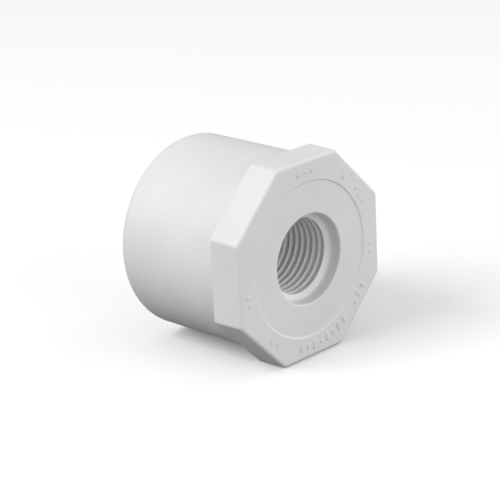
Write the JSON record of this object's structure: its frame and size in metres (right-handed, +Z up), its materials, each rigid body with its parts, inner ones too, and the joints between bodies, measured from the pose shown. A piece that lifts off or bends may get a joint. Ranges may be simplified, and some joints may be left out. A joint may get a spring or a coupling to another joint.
{
  "type": "reducing bushing",
  "caption": "White PVC pipe fitting that reduces: a plain round end for solvent cement and a female taper pipe thread in an octagonal head.",
  "frame": {"origin": "on the pipe axis, in the plane of the shoulder behind the octagonal head, where a socket's end would meet it", "axes": "+Y along the pipe axis towards the plain end, -Y out of the threaded mouth, +Z up with the head lying on one of its flats"},
  "size_m": [0.0496, 0.0403, 0.0496],
  "materials": {
    "white_pvc": "moulded, satin"
  },
  "bodies": {
    "root": {"octagonal_head": "white_pvc", "spigot_tube": "white_pvc", "threaded_socket": "white_pvc", "rib_1": "white_pvc", "rib_2": "white_pvc", "rib_3": "white_pvc", "rib_4": "white_pvc", "rib_5": "white_pvc", "rib_6": "white_pvc", "raised_marks": "white_pvc"}
  },
  "joints": []
}
